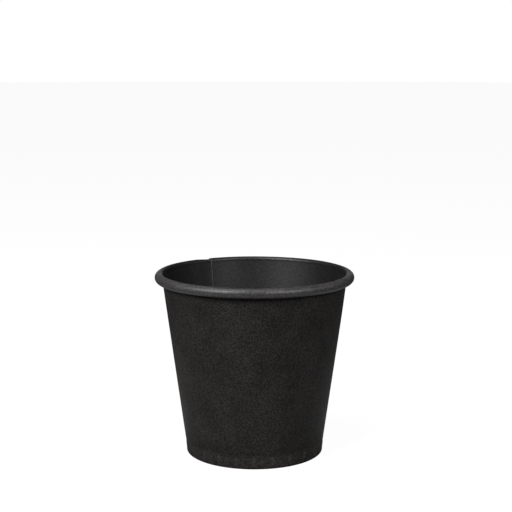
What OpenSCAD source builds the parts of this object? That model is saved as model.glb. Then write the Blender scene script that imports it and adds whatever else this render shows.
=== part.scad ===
// Small single wall paper cup, made of two paperboard blanks.
// The side wall is one wrapped blank: its top edge is rolled outwards into the rim, its two
// side edges overlap in a seam, and its bottom edge is folded inwards and up round the base.
// The base is a disc with its edge turned down into a skirt, sealed inside that fold.

/* [Cup] */
// Height from the table to the top of the rolled rim
cup_h = 57.2; // [50:0.1:70]
// Outer diameter of the wall where its cone would meet the table
foot_d = 42.46; // [38:0.02:46]
// Outer diameter of the wall where its cone would meet the height of the rim's top
mouth_d = 58.1; // [54:0.02:64]
// Thickness of the side wall's paperboard
board = 0.3; // [0.2:0.01:0.36]

/* [Rolled rim] */
// Height of the roll
roll_h = 3.06; // [2.9:0.01:3.4]
// Width of the roll, across its walls
roll_w = 2.5; // [2.4:0.01:2.8]
// How far the roll stands inside the wall's inner face
roll_in = 0.04; // [0.02:0.01:0.2]
// Gap between the tucked end of the roll and the wall's outer face
roll_room = 0.11; // [0.04:0.01:0.15]
// Radius left open inside the tucked end where the seam makes the roll double
roll_core = 0.14; // [0.08:0.01:0.2]
// How far the tucked end turns past the lowest point of the roll, in degrees
roll_tail = 140; // [100:5:170]
// Radius of the bend where the wall leads into the roll
neck_r = 3; // [2:0.1:5]

/* [Side seam] */
// Direction of the seam's inner cut edge, in degrees from the right hand side
seam_at = 120; // [0:1:359]
// How far the two ends of the wall overlap, in degrees
lap = 14; // [8:1:20]
// How far the lower end takes to come out from under the seam, in degrees
ramp = 12; // [6:1:18]

/* [Pressed foot] */
// Height of the folded edge inside the foot
hem_h = 4.2; // [3.6:0.05:4.4]
// Height of the pressed band outside the foot
band_h = 4; // [3:0.05:4.2]
// Height of the crease above the pressed band
crease_h = 0.3; // [0.2:0.05:0.6]
// Depth to which the band is pressed in
press_in = 0.08; // [0.02:0.01:0.12]
// How far the pressed band leans from upright, in degrees
band_lean = 3; // [1:0.5:6]
// How much of the rounded fold is worn flat where the cup stands
land_cut = 0.04; // [0.02:0.005:0.08]
// Number of press marks round the foot
marks = 24; // [12:1:30]
// Width of a press mark, in degrees
mark_w = 2; // [1:0.1:4]
// How far a press mark stands out
mark_out = 0.06; // [0.03:0.01:0.1]
// Height at which a press mark starts
mark_low = 1; // [0.9:0.05:1.5]
// How far below the band's top a press mark ends
mark_short = 0.3; // [0.1:0.05:0.8]

/* [Base] */
// Height of the base's upper face
base_h = 5; // [4.8:0.05:8]
// Thickness of the base's paperboard
base_board = 0.3; // [0.2:0.01:0.4]
// Outer radius of the bend between the disc and its skirt
corner_r = 0.6; // [0.45:0.05:0.8]
// Sealing film on each side of the skirt
seal = 0.03; // [0.02:0.005:0.06]
// Gap between the skirt's lower edge and the fold under it
skirt_room = 0.15; // [0.05:0.05:0.6]

/* [Hidden] */
$fn = 120;
board_black = [0.125, 0.12, 0.117];
lining_black = [0.15, 0.145, 0.14];
ramp_steps = 4;
// The seam's outer layer ends this many degrees sooner in the roll than the inner one.
outer_tail_short = 20;
// Strips of one blank run this far into each other where they join.
bond = 0.02;
// A cutting shape stands this far out of the face that it cuts.
clear = 0.1;
// Every bend is cut to its ends by lines of this length.
reach = 2 * (neck_r + 2 * board);

// The wall's cone: its slope, its lean from upright, and the directions out of it and up along it.
slope = (mouth_d - foot_d) / 2 / cup_h;
lean = atan(slope);
out_dir = [cos(lean), -sin(lean)];
up_dir = [sin(lean), cos(lean)];
function lining_r(z) = foot_d / 2 - board / cos(lean) + slope * z;
function on_wall(z, depth) = [lining_r(z) + depth / cos(lean), z];

// The roll: four arcs, each tangent to the next, given by the radius of the board's lined face.
// Its radii and centres are whole thousandths, so that the arcs meet exactly.
function thousandths(x) = round(x * 1000) / 1000;
tuck_r = 2 * board + roll_core;
lead_r = thousandths((2 * roll_w - roll_h - tuck_r - roll_in - board / cos(lean) - roll_room
    + slope * (roll_h - tuck_r)) / (1 + slope));
under_r = lead_r + roll_h - roll_w;
over_r = roll_w - lead_r;
rim_r = thousandths(lining_r(cup_h - lead_r) - roll_in + roll_w);
lead_at = [rim_r - over_r, cup_h - lead_r];
over_at = [rim_r - over_r, cup_h - over_r];
under_at = [rim_r - under_r, cup_h - over_r];
tuck_at = [rim_r - under_r, cup_h - roll_h + tuck_r];

// The neck bends the other way, tangent to the wall below it and to the roll above it.
roll_depth = lead_r - (lead_r - roll_in) * cos(lean);
neck_turn = acos(1 - roll_depth / (neck_r + lead_r));
bond_turn = bond / neck_r * 180 / PI;
neck_at = lead_at - (neck_r + lead_r) * [cos(neck_turn - lean), sin(neck_turn - lean)];
neck_low = neck_at + neck_r * out_dir;

// The pressed band stands steeper than the wall: the directions out of it and up along it.
band_out = [cos(band_lean), -sin(band_lean)];
band_up = [sin(band_lean), cos(band_lean)];
function band_r(z) = lining_r(band_h) - press_in + tan(band_lean) * (z - band_h);
function on_band(z, depth) = [band_r(z) + depth / cos(band_lean), z];

// The fold round the base's skirt, and the gap in it that the skirt fills.
slot_w = base_board + 2 * seal;
fold_z = slot_w / 2 + board - land_cut;
fold_at = [band_r(fold_z) - slot_w / 2 / cos(band_lean), fold_z];

// The skirt's outer face lies one film inside the pressed band.
skirt_low = fold_z + skirt_room;
corner_z = base_h - corner_r;
corner_at = [band_r(corner_z) - (seal + corner_r) / cos(band_lean), corner_z];

// Every strip of the side wall lies between two depths, both measured outwards from its lined face.

// A bent strip between two radii and two directions.
module bend(at, inner, outer, from, to) {
    steps = ceil((to - from) / 60);
    step = (to - from) / steps;
    translate(at) intersection() {
        difference() {
            circle(r = outer);
            circle(r = inner);
        }
        polygon([[0, 0], for (i = [0:steps]) reach * [cos(from + i * step), sin(from + i * step)]]);
    }
}

// A straight strip that runs up beside the pressed band.
module strip(low, high, inner, outer) {
    polygon([low + inner * band_out, low + outer * band_out, high + outer * band_out, high + inner * band_out]);
}

// The neck and the roll, down to the roll's lowest point.
module roll_strip(near, far) {
    bend(neck_at, neck_r + near, neck_r + far, -lean, neck_turn - lean + bond_turn);
    bend(lead_at, lead_r - far, lead_r - near, 90, 180 + neck_turn - lean);
    bend(over_at, over_r - far, over_r - near, 0, 90);
    bend(under_at, under_r - far, under_r - near, -90, 0);
}

// The roll's tucked end, the straight wall, the pressed band, the fold under the foot and the hem.
module lower_strip(near, far, tail) {
    wall_high = neck_low + bond * up_dir;
    band_low = fold_at + slot_w / 2 * band_out - bond * band_up;
    hem_top = fold_at + hem_h * band_up;
    bend(tuck_at, tuck_r - far, tuck_r - near, -90 - tail, -90);
    polygon([
        wall_high + near * out_dir,
        on_wall(band_h + crease_h, near),
        on_band(band_h, near),
        band_low + near * band_out,
        band_low + far * band_out,
        on_band(band_h, far),
        on_wall(band_h + crease_h, far),
        wall_high + far * out_dir
    ]);
    difference() {
        union() {
            bend(fold_at, slot_w / 2 + near, slot_w / 2 + far, -180 - band_lean, -band_lean);
            strip(fold_at - bond * band_up, hem_top, -slot_w / 2 - far, -slot_w / 2 - near);
        }
        translate([0, -cup_h]) square([mouth_d, cup_h]);
        translate([0, hem_h]) square([mouth_d, cup_h]);
    }
}

// A stretch between two directions round the cup, with its section given as a child.
module stretch(from, to) {
    rotate_extrude(start = from, angle = to - from) children();
}

// The outer layer of the seam, where it adds some depth outside the wall.
module outer_layer(from, to, depth) {
    stretch(from, to) {
        roll_strip(board - bond, board + depth);
        lower_strip(board - bond, board + depth, roll_tail - outer_tail_short);
    }
}

// What the lined face loses where the wall comes out from under the seam.
module lined_face_cut(from, to, depth) {
    wall_high = neck_low + bond * up_dir;
    low = base_h - base_board;
    stretch(from, to) {
        roll_strip(-clear, depth);
        polygon([
            wall_high - clear * out_dir,
            on_wall(low, -clear),
            on_wall(low, depth),
            wall_high + depth * out_dir
        ]);
    }
}

// A faint upright mark that the forming tool leaves on the band.
module press_mark(at) {
    stretch(at - mark_w / 2, at + mark_w / 2) polygon([
        on_band(mark_low, board / 2),
        on_band(mark_low, board + mark_out),
        on_band(band_h - mark_short, board + mark_out),
        on_band(band_h - mark_short, board / 2)
    ]);
}

module side_wall() {
    step = ramp / ramp_steps;
    color(board_black) difference() {
        union() {
            rotate_extrude() {
                roll_strip(0, board);
                lower_strip(0, board, roll_tail);
            }
            outer_layer(seam_at - lap, seam_at + step, board);
            // Each shallower layer starts inside the deepest one and runs on past the one before it.
            for (i = [1:ramp_steps - 1])
                outer_layer(seam_at - lap / 2, seam_at + (i + 1) * step, board * (1 - i / ramp_steps));
            for (i = [0:marks - 1]) {
                at = i * 360 / marks;
                past_lap = (at - seam_at + lap + mark_w + 360) % 360;
                if (past_lap > lap + ramp + 2 * mark_w) press_mark(at);
            }
        }
        lined_face_cut(seam_at, seam_at + step, board * (1 - 0.5 / ramp_steps));
        // Each shallower cut starts inside the deepest one and runs on past the one before it.
        for (i = [1:ramp_steps - 1])
            lined_face_cut(seam_at + step / 2, seam_at + (i + 1) * step, board * (1 - (i + 0.5) / ramp_steps));
    }
}

module base_disc() {
    color(lining_black) rotate_extrude() {
        translate([0, base_h - base_board]) square([corner_at[0], base_board]);
        bend(corner_at, corner_r - base_board, corner_r, -band_lean, 90);
        skirt_end = corner_at - (corner_z - skirt_low) / cos(band_lean) * band_up;
        strip(skirt_end, corner_at + bond * band_up, corner_r - base_board, corner_r);
    }
}

side_wall();
base_disc();
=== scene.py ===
"""A small black paper cup: its two blanks of board as finely modelled sheets, and a plain studio."""
import math

import bmesh
import bpy
from bpy.props import FloatProperty, FloatVectorProperty, IntProperty, PointerProperty
from mathutils import Matrix, Vector


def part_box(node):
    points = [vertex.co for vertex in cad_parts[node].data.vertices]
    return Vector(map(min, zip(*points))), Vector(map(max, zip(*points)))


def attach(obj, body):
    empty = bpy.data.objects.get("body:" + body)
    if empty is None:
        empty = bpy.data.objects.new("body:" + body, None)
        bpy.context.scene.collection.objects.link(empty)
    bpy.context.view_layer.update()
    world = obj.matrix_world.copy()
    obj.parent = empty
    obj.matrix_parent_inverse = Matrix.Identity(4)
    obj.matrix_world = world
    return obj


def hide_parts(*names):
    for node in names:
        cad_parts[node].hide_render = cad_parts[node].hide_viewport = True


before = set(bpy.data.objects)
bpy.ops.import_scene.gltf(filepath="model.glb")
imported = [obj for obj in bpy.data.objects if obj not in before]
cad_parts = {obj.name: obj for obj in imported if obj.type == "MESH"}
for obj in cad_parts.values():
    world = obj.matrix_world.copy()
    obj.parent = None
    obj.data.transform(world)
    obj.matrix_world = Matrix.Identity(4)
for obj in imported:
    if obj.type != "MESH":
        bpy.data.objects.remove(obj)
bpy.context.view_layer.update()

bl_info = {
    "name": "Small paper cup",
    "version": (1, 0, 0),
    "blender": (4, 5, 0),
    "location": "3D View > Sidebar > Paper Cup",
    "description": "Models a rolled rim paper cup from its side wall and its base, in a plain studio",
    "category": "Add Mesh",
}

WALL_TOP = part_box("side_wall")[1].z
BASE_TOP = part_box("base_disc")[1].z
MM = 0.001
QUARTER_TURN = math.pi / 2

# Steps of each arc and line of the wall's section, from the roll's tucked end to the hem.
TAIL_STEPS = 14
ROLL_STEPS = 9
LEAD_STEPS = 10
NECK_STEPS = 3
WALL_STEPS = 11
CREASE_STEPS = 2
BAND_STEPS = 6
FOLD_STEPS = 9
HEM_STEPS = 3
# Steps of the base's section, from its middle, and round it.
DISC_STEPS = 14
CORNER_STEPS = 8
SKIRT_STEPS = 5
BASE_STEPS = 360

# Waves round the cup: how many there are, their phase, their twist with height and their strength.
WALL_WAVES = ((2, 1.3, 0, 1.0), (3, -0.7, 2, 0.6), (5, 0, 3, 0.5), (9, 0, -5, 0.3))
ROLL_WAVES = ((3, 0.4, 0, 1.0), (7, 2.1, 0, 0.6))
# The wall's waves reach their strength this share of its height over the foot and under the rim.
FOOT_STIFF = 1 / 5
RIM_STIFF = 1 / 4
# Where a press mark starts and ends, and how softly, as shares of the band's height.
MARK_LOW = 0.2
MARK_HIGH = 0.93
MARK_SOFT = 0.15
# A press mark ends this many half widths from its middle, and starts to fade one sooner.
MARK_SIDE = 1.5
# The doubled foot is lifted by a whole board under the first height, and not at all over the second.
LIFT_WHOLE = 0.6 * MM
LIFT_NONE = 2.2 * MM
# The film in the seam, as a share of the film beside the skirt.
SEAM_FILM = 1 / 3
# Where the outer layer fills the roll, the inner layer keeps this many points of its tucked end.
KEPT_TAIL_POINTS = 5
# A point counts as under the lap up to this far past it, in radians.
LAP_SLACK = 1e-4
SKIRT_ROOM = 0.15 * MM
# The base sags from its middle out to this share of its radius.
SAG_REACH = 2 / 3
SAME_POINT = 1e-6
SHARP_ANGLE = math.radians(50)

# The black board's patterns, whose scale is how often they repeat in a metre.
PATCHES = {"scale": 130.0, "detail": 3.0, "roughness": 0.55}
SPECKS = {"scale": 2300.0, "detail": 2.0, "roughness": 0.6}
FIBRES = {"scale": 1500.0, "detail": 4.0, "roughness": 0.65}
TORN_FIBRES = {"scale": 4000.0, "detail": 3.0}
PATCH_LEVELS = (0.3, 0.7)
SPECK_LEVELS = (0.42, 0.64)
ROUGHNESS_SPREAD = 0.15
GRAIN_STRENGTH = 0.6
# Roughness of the cut edge and the floor.
DULL = 0.9
# Heights between which the press marks' lightening fades, as shares of the band's height; the marks are
# rubbed print, partly painted sheen.
MARK_WEAR_AND_SHEEN_FROM = (0.15, 0.3)
MARK_WEAR_AND_SHEEN_UP_TO = (1.0, 0.85)
# Painted light and sheen over the whole band, for its more upright face, as a share of a press mark's
# lightening.
BAND_PAINTED_LIGHT = 0.25
# The painted light over the roll starts and is whole this far inside the rim, as shares of the roll's width.
ROLL_PAINTED_LIGHT_REACH = (0.62, 0.4)

# The softboxes: direction round the cup and height over it in degrees, and width in metres.
SOFTBOXES = {
    "softbox_front": (230, 36, 0.24),
    "softbox_right": (310, 32, 0.2),
    "softbox_top": (225, 75, 0.28),
    "softbox_low_left": (203, 31, 0.2),
    "softbox_low_right": (352, 26, 0.2),
}
SOFTBOX_DISTANCE = 0.65
# Power of the low right softbox, as a share of the low left one's.
LOW_RIGHT_SHARE = 0.25
FLOOR_RADIUS = 6
FLOOR_SIDES = 64
# The camera sees nothing nearer than this.
NEAREST_SEEN = 0.01


def length(name, description, default):
    """A size in metres."""
    return FloatProperty(name=name, description=description, default=default, unit="LENGTH", precision=5)


def angle(name, description, degrees):
    """An angle, given in degrees and kept in radians."""
    return FloatProperty(name=name, description=description, default=math.radians(degrees), unit="ROTATION")


def share(name, description, default):
    """A plain number from 0 to 1."""
    return FloatProperty(name=name, description=description, default=default, min=0, max=1, subtype="FACTOR")


def colour(name, description, default):
    """A linear colour."""
    return FloatVectorProperty(
        name=name, description=description, default=default, size=3, min=0, max=1, subtype="COLOR"
    )


class CupShape(bpy.types.PropertyGroup):
    """Sizes of the cup's two blanks, as they are formed."""

    height: length("Height", "From the table to the top of the roll", WALL_TOP)
    foot_diameter: length("Foot", "Outer diameter where the wall's cone would meet the table", 0.04246)
    mouth_diameter: length("Mouth", "Outer diameter where the wall's cone would meet the roll's top", 0.0581)
    board: length("Board", "Thickness of the paperboard", 0.0003)
    roll_height: length("Roll height", "Height of the rolled rim", 0.00306)
    roll_width: length("Roll width", "Width of the rolled rim across its walls", 0.0025)
    roll_inset: length("Roll inset", "How far the roll stands inside the wall", 0.00004)
    roll_gap: length("Roll gap", "Gap between the tucked end and the wall", 0.00011)
    roll_core: length("Roll core", "Radius left open inside the doubled roll", 0.00014)
    roll_tail: angle("Roll tail", "How far the tucked end turns past the lowest point", 140)
    neck_radius: length("Neck radius", "Radius of the bend below the roll", 0.003)
    roll_wave: length("Roll wave", "How far the roll strays up and down round the cup", 0.00002)
    seam_at: angle("Seam", "Direction of the seam's inner cut edge, from the right", 120)
    lap: angle("Lap", "How far the blank's ends overlap", 14)
    ramp: angle("Ramp", "How far the lower end takes to come out from under the seam", 12)
    settle: angle("Settle", "How far the foot takes to settle past the outer cut edge", 5)
    hem_height: length("Hem", "Height of the folded edge inside the foot", 0.0042)
    band_height: length("Band", "Height of the pressed band outside the foot", 0.004)
    crease_height: length("Crease", "Height of the crease above the band", 0.0003)
    press_depth: length("Press depth", "Depth to which the band is pressed in", 0.00008)
    band_lean: angle("Band lean", "How far the pressed band leans from upright", 3)
    land: length("Land", "How much of the fold is worn flat where the cup stands", 0.00004)
    film: length("Film", "Sealing film on each side of the skirt", 0.00003)
    marks: IntProperty(name="Press marks", description="Number of press marks round the foot", default=24)
    mark_width: length("Mark width", "Width of a press mark", 0.0009)
    mark_depth: length("Mark depth", "How far a press mark stands out", 0.0001)
    wall_wave: length("Wall wave", "How far the wall strays from a true cone", 0.00006)
    base_height: length("Base height", "Height of the base's upper face", BASE_TOP)
    base_board: length("Base board", "Thickness of the base's paperboard", 0.0003)
    base_sag: length("Base sag", "How far the base sags in its middle", 0.00012)
    corner_radius: length("Corner", "Outer radius of the bend into the skirt", 0.0006)
    pleats: IntProperty(name="Pleats", description="Number of fine pleats round the skirt", default=60)
    pleat_depth: length("Pleat depth", "Depth of a pleat", 0.000025)
    steps: IntProperty(name="Steps", description="Steps of the wall in one turn", default=456)


class CupFinish(bpy.types.PropertyGroup):
    """Colours and surface of the board."""

    print_colour: colour("Print", "Matt black of the outer face", (0.0212, 0.0195, 0.0188))
    lined_colour: colour("Lining", "Black of the lined face", (0.0098, 0.0092, 0.0093))
    edge_colour: colour("Cut edge", "Grey core that the cut edges show", (0.11, 0.1, 0.095))
    print_roughness: share("Print roughness", "Roughness of the outer face", 0.55)
    lined_roughness: share("Lining roughness", "Roughness of the lined face", 0.43)
    print_gloss: share("Print gloss", "Specular level of the outer face", 0.12)
    lined_gloss: share("Lining gloss", "Specular level of the lined face", 0.5)
    print_grain: length("Print grain", "Depth of the grain in the outer face", 0.00002)
    lined_grain: length("Lining grain", "Depth of the grain in the lined face", 0.00008)
    mottle: share("Mottle", "How far the black varies in soft patches", 0.45)
    # Strength of the painted light over the roll, standing in for the light and highlights it catches.
    roll_painted_light: FloatProperty(
        name="Roll wear", description="How much lighter the lining is over the roll", default=3.6, min=0
    )
    # Strength of the foot's lightening: rubbed press marks with painted sheen, a painted highlight along the
    # crease and painted light over the band.
    foot_wear_and_painted_light: share("Foot wear", "How much lighter the print is rubbed on the press marks", 0.6)
    speckle: share("Speckle", "How far the black varies from fibre to fibre", 0.8)


class StudioSetup(bpy.types.PropertyGroup):
    """Camera, lamps and the white around the cup."""

    camera_across: length("Camera across", "How far right of the axis the camera stands", 0.00047)
    camera_back: length("Camera back", "How far in front of the axis the camera stands", 0.3846)
    camera_up: length("Camera height", "Height of the camera over the table", 0.12313)
    camera_pitch: angle("Camera pitch", "How far the camera looks down", 9.036)
    camera_lens: FloatProperty(name="Lens", description="Focal length", default=87.97, unit="CAMERA")
    front: FloatProperty(name="Front", description="Power of the front softbox", default=3.1, unit="POWER")
    right: FloatProperty(name="Right", description="Power of the right softbox", default=1.6, unit="POWER")
    top: FloatProperty(name="Top", description="Power of the softbox overhead", default=1.1, unit="POWER")
    low: FloatProperty(name="Low", description="Power of the low left softbox", default=0.7, unit="POWER")
    room: FloatProperty(name="Room", description="Strength of the light from all round", default=0.04)
    sweep: angle("Sweep", "How far the white sweep behind the cup reaches to each side", 20)
    sheet_reach: length("Sheet", "How far from the cup the floor still looks white in gloss", 0.14)
    foot_shadow: length("Foot shadow", "How far from the axis the floor is shaded in gloss", 0.04)
    sheet_shine: share("Sheet shine", "How white the floor looks in gloss", 0.45)
    floor_shade: share("Floor", "How much light the floor gives back", 0.12)
    floor_glow: share("Floor glow", "White that the floor adds to what the camera sees", 0.95)


def smooth(x):
    """Goes from 0 to 1 as x does, with a soft start and end."""
    x = min(max(x, 0.0), 1.0)
    return x * x * (3 - 2 * x)


def polar(centre, radius, direction):
    """The point at a radius and direction from a centre, in the plane of the section."""
    return Vector((centre.x + radius * math.cos(direction), 0, centre.z + radius * math.sin(direction)))


class Section:
    """Centres, radii and turns of the side wall's section: x outwards, z up."""

    def __init__(self, shape):
        self.slope = (shape.mouth_diameter - shape.foot_diameter) / 2 / shape.height
        self.lean = math.atan(self.slope)
        self.side = shape.board / math.cos(self.lean)
        self.foot_r = shape.foot_diameter / 2 - self.side
        self.tuck_r = 2 * shape.board + shape.roll_core
        room = 2 * shape.roll_width - shape.roll_height - self.tuck_r
        room += self.slope * (shape.roll_height - self.tuck_r)
        room -= shape.roll_inset + self.side + shape.roll_gap
        self.lead_r = room / (1 + self.slope)
        self.under_r = self.lead_r + shape.roll_height - shape.roll_width
        self.over_r = shape.roll_width - self.lead_r
        rim_r = self.wall_r(shape.height - self.lead_r) - shape.roll_inset + shape.roll_width
        self.lead_at = Vector((rim_r - self.over_r, 0, shape.height - self.lead_r))
        self.over_at = Vector((rim_r - self.over_r, 0, shape.height - self.over_r))
        self.under_at = Vector((rim_r - self.under_r, 0, shape.height - self.over_r))
        self.tuck_at = self.under_at + Vector((0, 0, self.tuck_r - self.under_r))
        depth = self.lead_r - (self.lead_r - shape.roll_inset) * math.cos(self.lean)
        self.neck_turn = math.acos(1 - depth / (shape.neck_radius + self.lead_r))
        reach = shape.neck_radius + self.lead_r
        self.neck_at = polar(self.lead_at, -reach, self.neck_turn - self.lean)
        self.band_lean = shape.band_lean
        self.band_out = Vector((math.cos(self.band_lean), 0, -math.sin(self.band_lean)))
        self.band_up = Vector((math.sin(self.band_lean), 0, math.cos(self.band_lean)))
        self.band_top = Vector((self.wall_r(shape.band_height) - shape.press_depth, 0, shape.band_height))
        self.fold_r = shape.base_board / 2 + shape.film
        fold_z = self.fold_r + shape.board - shape.land
        fold_x = self.band_r(fold_z) - self.fold_r / math.cos(self.band_lean)
        self.fold_at = Vector((fold_x, 0, fold_z))

    def wall_r(self, z):
        """Radius of the wall's lined face at a height."""
        return self.foot_r + self.slope * z

    def band_r(self, z):
        """Radius of the pressed band's lined face at a height."""
        return self.band_top.x + math.tan(self.band_lean) * (z - self.band_top.z)


def arc(bm, tip, centre, turn, steps):
    """Carries the open end of a line round a centre, anticlockwise as seen from the front."""
    spun = bmesh.ops.spin(bm, geom=[tip], cent=centre, axis=(0, -1, 0), angle=turn, steps=steps)
    return next(item for item in spun["geom_last"] if isinstance(item, bmesh.types.BMVert))


def line(bm, tip, end, steps):
    """Carries the open end of a line straight on to a point."""
    step = (end - tip.co) / steps
    for _ in range(steps):
        tip = bmesh.ops.extrude_vert_indiv(bm, verts=[tip])["verts"][0]
        bmesh.ops.translate(bm, verts=[tip], vec=step)
    return tip


def draw_wall_line(bm, shape, section):
    """Draws the lined face of the side wall's section, from the roll's tucked end to the hem.

    Returns how many points come before the roll's lowest point, the wall and the fold."""
    lean, neck_turn = section.lean, section.neck_turn
    counts = {}
    tip = bm.verts.new(polar(section.tuck_at, section.tuck_r, -QUARTER_TURN - shape.roll_tail))
    tip = arc(bm, tip, section.tuck_at, shape.roll_tail, TAIL_STEPS)
    counts["bottom"] = len(bm.verts)
    tip = arc(bm, tip, section.under_at, QUARTER_TURN, ROLL_STEPS)
    tip = arc(bm, tip, section.over_at, QUARTER_TURN, ROLL_STEPS)
    tip = arc(bm, tip, section.lead_at, QUARTER_TURN + neck_turn - lean, LEAD_STEPS)
    tip = arc(bm, tip, section.neck_at, -neck_turn, NECK_STEPS)
    counts["wall"] = len(bm.verts)
    crease_top = shape.band_height + shape.crease_height
    tip = line(bm, tip, Vector((section.wall_r(crease_top), 0, crease_top)), WALL_STEPS)
    tip = line(bm, tip, section.band_top, CREASE_STEPS)
    tip = line(bm, tip, section.fold_at + section.fold_r * section.band_out, BAND_STEPS)
    counts["fold"] = len(bm.verts)
    tip = arc(bm, tip, section.fold_at, -math.pi, FOLD_STEPS)
    hem_length = (shape.hem_height - tip.co.z) / math.cos(section.band_lean)
    line(bm, tip, tip.co + hem_length * section.band_up, HEM_STEPS)
    return counts


def wrap_wall(bm, shape):
    """Winds the section's line round the cup, from the seam's inner cut edge to past its own start.

    The row layer holds a vertex's place in the section, and the turn layer its place round the blank."""
    row = bm.verts.layers.int.new("row")
    turn = bm.verts.layers.float.new("turn")
    for place, vert in enumerate(bm.verts):
        vert[row] = place
    bmesh.ops.rotate(bm, verts=bm.verts, cent=(0, 0, 0), matrix=Matrix.Rotation(shape.seam_at, 3, "Z"))
    blank = math.tau + shape.lap
    steps = round(shape.steps * blank / math.tau)
    back = Matrix.Rotation(-blank / steps, 3, "Z")
    edges = bm.edges[:]
    for step in range(1, steps + 1):
        made = bmesh.ops.extrude_edge_only(bm, edges=edges)["geom"]
        verts = [item for item in made if isinstance(item, bmesh.types.BMVert)]
        edges = [item for item in made if isinstance(item, bmesh.types.BMEdge)]
        bmesh.ops.rotate(bm, verts=verts, cent=(0, 0, 0), matrix=back)
        for vert in verts:
            vert[turn] = blank * step / steps
    return row, turn


def waves(pattern, direction, up=0.0):
    """The sum of some waves at a direction round the cup and a share of its height."""
    return sum(
        strength * math.sin(count * direction + phase + twist * up)
        for count, phase, twist, strength in pattern
    )


def mark_shape(shape, direction, z):
    """How strongly a press mark stands out at a direction and height, from 0 to 1."""
    pitch = math.tau / shape.marks
    off = abs((direction + pitch / 2) % pitch - pitch / 2) * shape.foot_diameter / 2
    across = smooth(MARK_SIDE - off / (shape.mark_width / 2))
    up = z / shape.band_height
    return across * smooth((up - MARK_LOW) / MARK_SOFT) * smooth((MARK_HIGH - up) / MARK_SOFT)


def wall_stray(shape, direction, z):
    """How far the wall strays from a true cone at a direction and height."""
    up = z / shape.height
    swell = waves(WALL_WAVES, direction, up)
    return shape.wall_wave * swell * smooth(up / FOOT_STIFF) * smooth((1 - up) / RIM_STIFF)


def form_wall(bm, shape, section, counts, row, turn):
    """Lays the blank's outer end over its start, lifts the doubled fold and adds the fine relief."""
    bm.normal_update()
    outward = {v: -v.normal for v in bm.verts}
    # The roll only strays down, so it never passes its own height.
    highest_wave = sum(wave[-1] for wave in ROLL_WAVES)
    for vert in bm.verts:
        round_blank, direction, z = vert[turn], math.atan2(vert.co.y, vert.co.x), vert.co.z
        under_seam = smooth((round_blank - math.tau + shape.ramp) / shape.ramp)
        past_edge = 1 - smooth((round_blank - shape.lap) / shape.settle)
        radial = Vector((vert.co.x, vert.co.y, 0)).normalized()
        vert.co += outward[vert] * under_seam * (shape.board + shape.film * SEAM_FILM)
        in_fold = vert[row] >= counts["fold"]
        weight = 1.0 if in_fold else smooth((LIFT_NONE - z) / (LIFT_NONE - LIFT_WHOLE))
        if vert[row] < counts["wall"]:
            vert.co.z += shape.roll_wave * (waves(ROLL_WAVES, direction) - highest_wave)
            weight = 0.0
        vert.co.z += weight * shape.board * max(under_seam, past_edge)
        if vert[row] >= counts["wall"]:
            vert.co += radial * wall_stray(shape, direction, z)
            vert.co += radial * shape.mark_depth * mark_shape(shape, direction, z)


def trim_hidden_tail(bm, shape, counts, row, turn):
    """Cuts back the inner layer's tucked end where the seam's outer layer fills the roll."""
    last_row = counts["bottom"] - KEPT_TAIL_POINTS
    faces = [
        f for f in bm.faces
        if all(v[turn] <= shape.lap + LAP_SLACK and v[row] <= last_row for v in f.verts)
    ]
    bmesh.ops.delete(bm, geom=faces, context="FACES")


def face_inwards(bm, middle_z):
    """Turns the sheet so that its faces look to the lined side."""
    bmesh.ops.recalc_face_normals(bm, faces=bm.faces)
    face = min(bm.faces, key=lambda f: abs(f.calc_center_median().z - middle_z))
    centre = face.calc_center_median()
    if face.normal.dot(Vector((centre.x, centre.y, 0))) > 0:
        bmesh.ops.reverse_faces(bm, faces=bm.faces)


def thicken(bm, name, thickness, materials):
    """Makes an object of a sheet: the sheet is its lined face and the board lies behind it."""
    mesh = bpy.data.meshes.new(name)
    bm.to_mesh(mesh)
    bm.free()
    piece = bpy.data.objects.new(name, mesh)
    bpy.context.scene.collection.objects.link(piece)
    for material in materials:
        mesh.materials.append(material)
    solid = piece.modifiers.new("board", "SOLIDIFY")
    solid.thickness = thickness
    solid.offset = -1
    solid.use_even_offset = True
    solid.material_offset = 1
    solid.material_offset_rim = 2
    seen = bpy.context.evaluated_depsgraph_get()
    finished = bpy.data.meshes.new_from_object(piece.evaluated_get(seen))
    piece.modifiers.clear()
    piece.data = finished
    finished.name = name
    bpy.data.meshes.remove(mesh)
    for vert in finished.vertices:
        vert.co.z = max(vert.co.z, 0)
    finished.polygons.foreach_set("use_smooth", [True] * len(finished.polygons))
    finished.set_sharp_from_angle(angle=SHARP_ANGLE)
    return piece


def add(tree, kind, label, **values):
    """Adds a shader node, with its settings and the values of its sockets."""
    node = tree.nodes.new(kind)
    node.label = label
    for key, value in values.items():
        if hasattr(node, key):
            setattr(node, key, value)
        else:
            node.inputs[key.replace("_", " ").title()].default_value = value
    return node


def maths(tree, label, operation, *values):
    """Adds a maths node, whose values are numbers or other nodes' outputs, and returns its output."""
    node = add(tree, "ShaderNodeMath", label, operation=operation)
    for socket, value in zip(node.inputs, values):
        if isinstance(value, bpy.types.NodeSocket):
            tree.links.new(value, socket)
        else:
            socket.default_value = value
    return node.outputs["Value"]


def span(tree, label, value, before=(0.0, 1.0), after=(0.0, 1.0)):
    """Adds a node that takes a value from one span to another, and returns its output."""
    node = add(tree, "ShaderNodeMapRange", label)
    for name, number in zip(("From Min", "From Max", "To Min", "To Max"), (*before, *after)):
        node.inputs[name].default_value = number
    tree.links.new(value, node.inputs["Value"])
    return node.outputs["Result"]


def noise(tree, label, place, pattern):
    """Adds a noise pattern that is laid out in the object's own space, and returns its output."""
    node = add(tree, "ShaderNodeTexNoise", label, **pattern)
    tree.links.new(place.outputs["Object"], node.inputs["Vector"])
    return node.outputs["Fac"]


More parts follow.
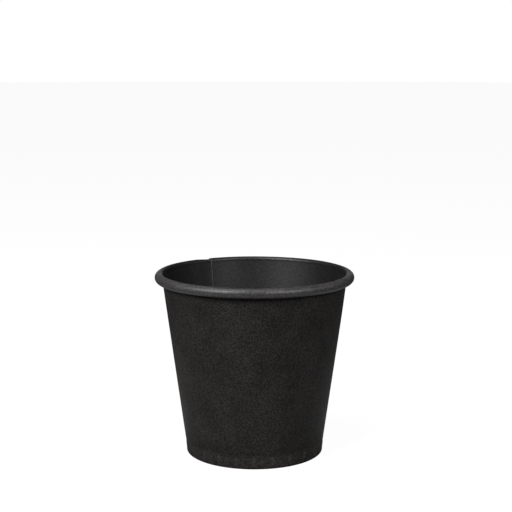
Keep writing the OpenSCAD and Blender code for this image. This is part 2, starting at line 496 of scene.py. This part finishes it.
def tint_surface(tree, surface, tint, factor):
    """Paints a surface with a colour times a factor."""
    tinted = add(tree, "ShaderNodeVectorMath", "tinted", operation="SCALE")
    tinted.inputs[0].default_value = tint
    tree.links.new(factor, tinted.inputs["Scale"])
    tree.links.new(tinted.outputs["Vector"], surface.inputs["Base Color"])


def new_material(name):
    """An empty material with a surface shader, and its node tree."""
    material = bpy.data.materials.new(name)
    material.use_nodes = True
    tree = material.node_tree
    return material, tree, tree.nodes["Principled BSDF"]


def foot_wear_and_painted_light(tree, place, finish, shape):
    """How much lighter the foot is painted, as a factor of the colour: the press marks are rubbed print with
    painted sheen, the crease gets a painted highlight line and the band painted light and sheen.
    """
    band = shape.band_height
    axes = add(tree, "ShaderNodeSeparateXYZ", "axes")
    tree.links.new(place.outputs["Object"], axes.inputs["Vector"])
    z = axes.outputs["Z"]
    direction = maths(tree, "direction", "ARCTAN2", axes.outputs["Y"], axes.outputs["X"])
    count = maths(tree, "marks", "MULTIPLY_ADD", direction, shape.marks / math.tau, shape.marks + 0.5)
    between = maths(tree, "place between marks", "FRACT", count)
    half_mark = shape.mark_width / 2 * shape.marks / (math.pi * shape.foot_diameter)
    # The press marks are painted lighter: rubbed print, partly painted sheen.
    rubbed = maths(tree, "near a mark", "COMPARE", between, 0.5, half_mark)
    for label, shares in (("under the band's top", MARK_WEAR_AND_SHEEN_UP_TO), ("over the fold", MARK_WEAR_AND_SHEEN_FROM)):
        mask = span(tree, label, z, [share_of_band * band for share_of_band in shares])
        rubbed = maths(tree, "rubbed mark", "MULTIPLY", rubbed, mask)
    # Painted highlight along the crease.
    half_crease = shape.crease_height / 2
    crease = maths(tree, "crease", "COMPARE", z, band + half_crease, half_crease)
    # Painted light and sheen over the whole band.
    pressed = maths(tree, "pressed band", "LESS_THAN", z, band)
    band_and_crease_light = maths(tree, "painted band and crease light", "MULTIPLY_ADD", pressed, BAND_PAINTED_LIGHT, crease)
    worn = maths(tree, "worn", "ADD", rubbed, band_and_crease_light)
    return maths(tree, "lighter where worn", "MULTIPLY_ADD", worn, finish.foot_wear_and_painted_light, 1.0)


def roll_painted_light(tree, place, finish, shape):
    """How much lighter the lining is painted over the roll, as a factor of the colour: painted light and
    sheen standing in for the light and highlights the roll catches.
    """
    flat = add(tree, "ShaderNodeVectorMath", "across the axis", operation="MULTIPLY")
    flat.inputs[1].default_value = (1.0, 1.0, 0.0)
    tree.links.new(place.outputs["Object"], flat.inputs[0])
    radius = add(tree, "ShaderNodeVectorMath", "radius", operation="LENGTH")
    tree.links.new(flat.outputs["Vector"], radius.inputs[0])
    section = Section(shape)
    rim = section.over_at.x + section.over_r
    radii = [rim - inside * shape.roll_width for inside in ROLL_PAINTED_LIGHT_REACH]
    # Painted light: the lining over the roll is made lighter for the light and highlights it catches.
    return span(tree, "over the roll", radius.outputs["Value"], radii, (1.0, 1.0 + finish.roll_painted_light))


def board_material(name, face, finish, shape, lightening):
    """Black board: soft patches and fibre specks in its colour, and a fine grain in its surface."""
    tint, roughness, gloss, grain = (
        getattr(finish, face + part) for part in ("_colour", "_roughness", "_gloss", "_grain")
    )
    material, tree, surface = new_material(name)
    link = tree.links.new
    place = add(tree, "ShaderNodeTexCoord", "place")
    patches = noise(tree, "patches", place, PATCHES)
    specks = noise(tree, "fibre specks", place, SPECKS)
    fibres = noise(tree, "fibres", place, FIBRES)
    patch_ends = (1 - finish.mottle / 2, 1 + finish.mottle / 2)
    speck_ends = (1 - finish.speckle / 2, 1 + finish.speckle)
    patch_level = span(tree, "patch level", patches, PATCH_LEVELS, patch_ends)
    speck_level = span(tree, "speck level", specks, SPECK_LEVELS, speck_ends)
    strength = maths(tree, "patches and specks", "MULTIPLY", patch_level, speck_level)
    # The tone is multiplied by painted light: over the roll for the light it catches, and on the foot for
    # the band, the crease and the sheen of the rubbed press marks.
    worn = maths(tree, "worn patches", "MULTIPLY", strength, lightening(tree, place, finish, shape))
    tint_surface(tree, surface, tint, worn)
    rough_ends = (roughness - ROUGHNESS_SPREAD, roughness + ROUGHNESS_SPREAD)
    link(span(tree, "roughness level", fibres, after=rough_ends), surface.inputs["Roughness"])
    bump = add(tree, "ShaderNodeBump", "grain", strength=GRAIN_STRENGTH, distance=grain)
    link(fibres, bump.inputs["Height"])
    link(bump.outputs["Normal"], surface.inputs["Normal"])
    surface.inputs["Specular IOR Level"].default_value = gloss
    return material


def edge_material(finish):
    """The cut edge of the board: its grey core, with the fibres showing."""
    material, tree, surface = new_material("board_cut_edge")
    place = add(tree, "ShaderNodeTexCoord", "place")
    fibres = noise(tree, "torn fibres", place, TORN_FIBRES)
    tint_surface(tree, surface, finish.edge_colour, span(tree, "fibre tone", fibres, after=(0.5, 1.5)))
    surface.inputs["Roughness"].default_value = DULL
    return material


def cup_materials(finish, shape):
    """Lining, print and cut edge, in the order in which a sheet is given them."""
    found = [bpy.data.materials.get(n) for n in ("board_lining", "board_print", "board_cut_edge")]
    if all(found):
        return found
    lining = board_material("board_lining", "lined", finish, shape, roll_painted_light)
    outside = board_material("board_print", "print", finish, shape, foot_wear_and_painted_light)
    return [lining, outside, edge_material(finish)]


class CUP_OT_side_wall(bpy.types.Operator):
    """Model the wrapped side wall with its roll, seam, pressed band and hem"""

    bl_idname = "cup.side_wall"
    bl_label = "Side wall"

    def execute(self, context):
        shape = context.scene.cup_shape
        section = Section(shape)
        bm = bmesh.new()
        counts = draw_wall_line(bm, shape, section)
        row, turn = wrap_wall(bm, shape)
        face_inwards(bm, shape.height / 2)
        form_wall(bm, shape, section, counts, row, turn)
        trim_hidden_tail(bm, shape, counts, row, turn)
        piece = thicken(bm, "wrapped_side_wall", shape.board, cup_materials(context.scene.cup_finish, shape))
        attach(piece, "root")
        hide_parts("side_wall")
        return {"FINISHED"}


def draw_base_line(bm, shape, section):
    """Draws the upper face of the base's section, from its middle to the skirt's lower edge."""
    corner_z = shape.base_height - shape.corner_radius
    inset = (shape.film + shape.corner_radius) / math.cos(section.band_lean)
    corner_at = Vector((section.band_r(corner_z) - inset, 0, corner_z))
    tip = bm.verts.new((0, 0, shape.base_height))
    tip = line(bm, tip, Vector((corner_at.x, 0, shape.base_height)), DISC_STEPS)
    tip = arc(bm, tip, corner_at, -QUARTER_TURN - section.band_lean, CORNER_STEPS)
    skirt_low = section.fold_at.z + shape.board + SKIRT_ROOM
    skirt_length = (tip.co.z - skirt_low) / math.cos(section.band_lean)
    line(bm, tip, tip.co - skirt_length * section.band_up, SKIRT_STEPS)
    return corner_at


class CUP_OT_base(bpy.types.Operator):
    """Model the base with its turned down skirt"""

    bl_idname = "cup.base"
    bl_label = "Base"

    def execute(self, context):
        shape = context.scene.cup_shape
        bm = bmesh.new()
        corner_at = draw_base_line(bm, shape, Section(shape))
        bmesh.ops.spin(
            bm, geom=[*bm.verts, *bm.edges], cent=(0, 0, 0), axis=(0, 0, 1),
            angle=math.tau, steps=BASE_STEPS, use_merge=True,
        )
        bmesh.ops.remove_doubles(bm, verts=bm.verts, dist=SAME_POINT)
        bmesh.ops.recalc_face_normals(bm, faces=bm.faces)
        middle = min(bm.faces, key=lambda f: f.calc_center_median().length_squared)
        if middle.normal.z < 0:
            bmesh.ops.reverse_faces(bm, faces=bm.faces)
        for vert in bm.verts:
            out = Vector((vert.co.x, vert.co.y, 0))
            inside = 1 - out.length / corner_at.x
            vert.co.z -= shape.base_sag * smooth(inside / SAG_REACH)
            if inside < 0:
                fold = 0.5 - 0.5 * math.cos(shape.pleats * math.atan2(out.y, out.x))
                vert.co -= out.normalized() * fold * shape.pleat_depth
        piece = thicken(bm, "drawn_base", shape.base_board, cup_materials(context.scene.cup_finish, shape))
        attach(piece, "root")
        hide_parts("base_disc")
        return {"FINISHED"}


def mirrored_rays(tree):
    """Adds the ray's kind, and returns whether the camera sees it straight on or in a gloss."""
    path = add(tree, "ShaderNodeLightPath", "ray")
    glossy, through = path.outputs["Is Glossy Ray"], path.outputs["Is Transmission Ray"]
    return path.outputs["Is Camera Ray"], maths(tree, "mirrored", "MAXIMUM", glossy, through)


def build_floor(studio):
    """A floor that looks white and keeps the cup's shadow; in gloss it shows a painted pool of white under
    the cup, darkened at the foot by a painted shadow.
    """
    bm = bmesh.new()
    bmesh.ops.create_circle(bm, cap_ends=True, segments=FLOOR_SIDES, radius=FLOOR_RADIUS)
    mesh = bpy.data.meshes.new("floor")
    bm.to_mesh(mesh)
    bm.free()
    floor = bpy.data.objects.new("floor", mesh)
    bpy.context.scene.collection.objects.link(floor)
    material, tree, surface = new_material("floor_white")
    shade = studio.floor_shade
    surface.inputs["Base Color"].default_value = (shade, shade, shade, 1)
    surface.inputs["Roughness"].default_value = DULL
    surface.inputs["Specular IOR Level"].default_value = 0
    surface.inputs["Emission Color"].default_value = (1, 1, 1, 1)
    place = add(tree, "ShaderNodeTexCoord", "place")
    length_node = add(tree, "ShaderNodeVectorMath", "distance from the cup", operation="LENGTH")
    tree.links.new(place.outputs["Object"], length_node.inputs[0])
    distance = length_node.outputs["Value"]
    reach, shadow_reach = studio.sheet_reach, studio.foot_shadow
    # Painted reflection: in gloss the floor glows white only in a pool under the cup.
    sheet = span(tree, "painted white pool under the cup", distance, (reach, reach / 3), (0, studio.sheet_shine))
    # Painted shadow: the pool is darkened near the foot in gloss.
    shadow = span(tree, "shadow at the foot", distance, (shadow_reach / 2, shadow_reach))
    lit = maths(tree, "lit sheet", "MULTIPLY", sheet, shadow)
    seen, mirrored = mirrored_rays(tree)
    reflected = maths(tree, "reflected sheet", "MULTIPLY", lit, mirrored)
    white = maths(tree, "white", "MAXIMUM", reflected, seen)
    glow = maths(tree, "glow", "MULTIPLY", white, studio.floor_glow)
    tree.links.new(glow, surface.inputs["Emission Strength"])
    mesh.materials.append(material)


def build_room(studio):
    """A dim room with a white sweep behind the cup; the camera sees white all round."""
    world = bpy.data.worlds.new("white_room")
    world.use_nodes = True
    bpy.context.scene.world = world
    tree = world.node_tree
    background = tree.nodes["Background"]
    background.inputs["Color"].default_value = (1, 1, 1, 1)
    seen, mirrored = mirrored_rays(tree)
    place = add(tree, "ShaderNodeTexCoord", "direction")
    axes = add(tree, "ShaderNodeSeparateXYZ", "axes")
    tree.links.new(place.outputs["Generated"], axes.inputs["Vector"])
    sweep = span(tree, "sweep behind the cup", axes.outputs["Y"], (math.cos(studio.sweep), 1.0))
    reflected = maths(tree, "reflected sweep", "MULTIPLY", sweep, mirrored)
    white = maths(tree, "white", "MAXIMUM", reflected, seen)
    level = span(tree, "level", white, after=(studio.room, 1.0))
    tree.links.new(level, background.inputs["Strength"])


def softbox(name, power, target):
    """A square softbox that looks at a target from its place in the table of softboxes."""
    direction, height, size = SOFTBOXES[name]
    round_cup = Matrix.Rotation(math.radians(direction), 3, "Z")
    over_cup = Matrix.Rotation(-math.radians(height), 3, "Y")
    place = target + round_cup @ over_cup @ Vector((SOFTBOX_DISTANCE, 0, 0))
    lamp = bpy.data.lights.new(name, "AREA")
    lamp.energy = power
    lamp.size = size
    box = bpy.data.objects.new(name, lamp)
    bpy.context.scene.collection.objects.link(box)
    box.location = place
    box.rotation_euler = (target - place).to_track_quat("-Z", "Y").to_euler()


class CUP_OT_studio(bpy.types.Operator):
    """Set up the floor, the white room, the softboxes and the camera"""

    bl_idname = "cup.studio"
    bl_label = "Studio"

    def execute(self, context):
        studio = context.scene.cup_studio
        build_floor(studio)
        build_room(studio)
        middle = Vector((0, 0, context.scene.cup_shape.height / 2))
        softbox("softbox_front", studio.front, middle)
        softbox("softbox_right", studio.right, middle)
        softbox("softbox_top", studio.top, middle)
        softbox("softbox_low_left", studio.low, middle)
        softbox("softbox_low_right", studio.low * LOW_RIGHT_SHARE, middle)
        lens = bpy.data.cameras.new("camera")
        lens.lens = studio.camera_lens
        lens.clip_start = NEAREST_SEEN
        camera = bpy.data.objects.new("camera", lens)
        context.scene.collection.objects.link(camera)
        camera.location = (studio.camera_across, -studio.camera_back, studio.camera_up)
        camera.rotation_euler = (QUARTER_TURN - studio.camera_pitch, 0, 0)
        context.scene.camera = camera
        context.scene.view_settings.view_transform = "Standard"
        return {"FINISHED"}


class CUP_PT_panel(bpy.types.Panel):
    """Paper cup tools"""

    bl_idname = "CUP_PT_panel"
    bl_label = "Paper Cup"
    bl_space_type = "VIEW_3D"
    bl_region_type = "UI"
    bl_category = "Paper Cup"

    def draw(self, context):
        for group in ("cup_shape", "cup_finish", "cup_studio"):
            settings = getattr(context.scene, group)
            column = self.layout.column(align=True)
            for name in settings.__annotations__:
                column.prop(settings, name)
        for operator in (CUP_OT_side_wall, CUP_OT_base, CUP_OT_studio):
            self.layout.operator(operator.bl_idname)


CLASSES = (
    CupShape, CupFinish, StudioSetup, CUP_OT_side_wall, CUP_OT_base, CUP_OT_studio, CUP_PT_panel
)


def register():
    """Registers the classes and gives the scene its settings."""
    for cls in CLASSES:
        bpy.utils.register_class(cls)
    bpy.types.Scene.cup_shape = PointerProperty(type=CupShape)
    bpy.types.Scene.cup_finish = PointerProperty(type=CupFinish)
    bpy.types.Scene.cup_studio = PointerProperty(type=StudioSetup)


def unregister():
    """Takes back what register did."""
    del bpy.types.Scene.cup_shape
    del bpy.types.Scene.cup_finish
    del bpy.types.Scene.cup_studio
    for cls in reversed(CLASSES):
        bpy.utils.unregister_class(cls)


def main():
    """Builds the pieces and the studio."""
    register()
    bpy.ops.cup.side_wall()
    bpy.ops.cup.base()
    bpy.ops.cup.studio()


if __name__ == "__main__":
    main()
